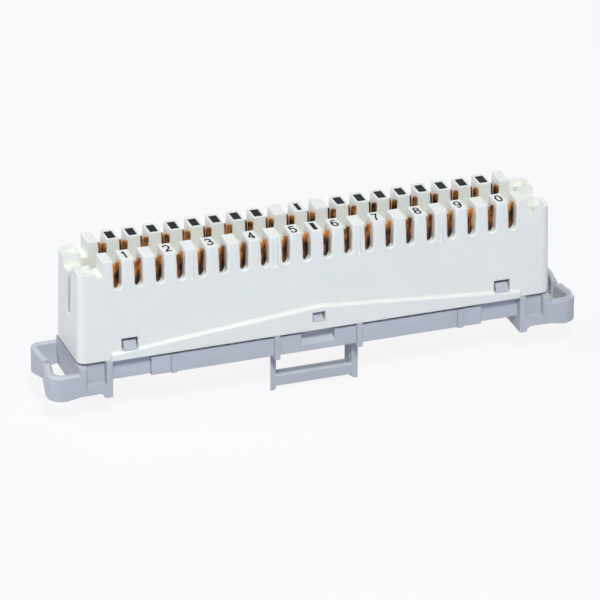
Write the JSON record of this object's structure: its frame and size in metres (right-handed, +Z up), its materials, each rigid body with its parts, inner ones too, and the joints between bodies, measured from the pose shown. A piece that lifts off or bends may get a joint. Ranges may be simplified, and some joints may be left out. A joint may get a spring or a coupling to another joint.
{
  "type": "insulation displacement connection module",
  "caption": "Terminal module for telephone wire pairs: two rows of wire slots with slotted fork contacts, a central plug channel and a clip-on base with wire loops.",
  "frame": {"origin": "middle of the base's flat underside; the bracket, the feet and the wire loops reach lower", "axes": "+X along the rows to the right as seen from the numbered side, +Y from the numbered row to the rear row, +Z up out of the wire slots"},
  "size_m": [0.124, 0.0189, 0.0386],
  "materials": {
    "white_plastic": "fine matt moulded white plastic",
    "grey_plastic": "fine matt moulded light grey plastic",
    "contact_brass": "stamped copper alloy strip, slightly browned",
    "black_ink": "black printed ink"
  },
  "bodies": {
    "root": {"contact_housing": "white_plastic", "base": "grey_plastic", "front_contact_01": "contact_brass", "front_contact_02": "contact_brass", "front_contact_03": "contact_brass", "front_contact_04": "contact_brass", "front_contact_05": "contact_brass", "front_contact_06": "contact_brass", "front_contact_07": "contact_brass", "front_contact_08": "contact_brass", "front_contact_09": "contact_brass", "front_contact_10": "contact_brass", "front_contact_11": "contact_brass", "front_contact_12": "contact_brass", "front_contact_13": "contact_brass", "front_contact_14": "contact_brass", "front_contact_15": "contact_brass", "front_contact_16": "contact_brass", "front_contact_17": "contact_brass", "front_contact_18": "contact_brass", "front_contact_19": "contact_brass", "front_contact_20": "contact_brass", "rear_contact_01": "contact_brass", "rear_contact_02": "contact_brass", "rear_contact_03": "contact_brass", "rear_contact_04": "contact_brass", "rear_contact_05": "contact_brass", "rear_contact_06": "contact_brass", "rear_contact_07": "contact_brass", "rear_contact_08": "contact_brass", "rear_contact_09": "contact_brass", "rear_contact_10": "contact_brass", "rear_contact_11": "contact_brass", "rear_contact_12": "contact_brass", "rear_contact_13": "contact_brass", "rear_contact_14": "contact_brass", "rear_contact_15": "contact_brass", "rear_contact_16": "contact_brass", "rear_contact_17": "contact_brass", "rear_contact_18": "contact_brass", "rear_contact_19": "contact_brass", "rear_contact_20": "contact_brass", "left_earth_contact": "contact_brass", "right_earth_contact": "contact_brass", "row_marks": "black_ink", "front_numbers": "black_ink"}
  },
  "joints": []
}
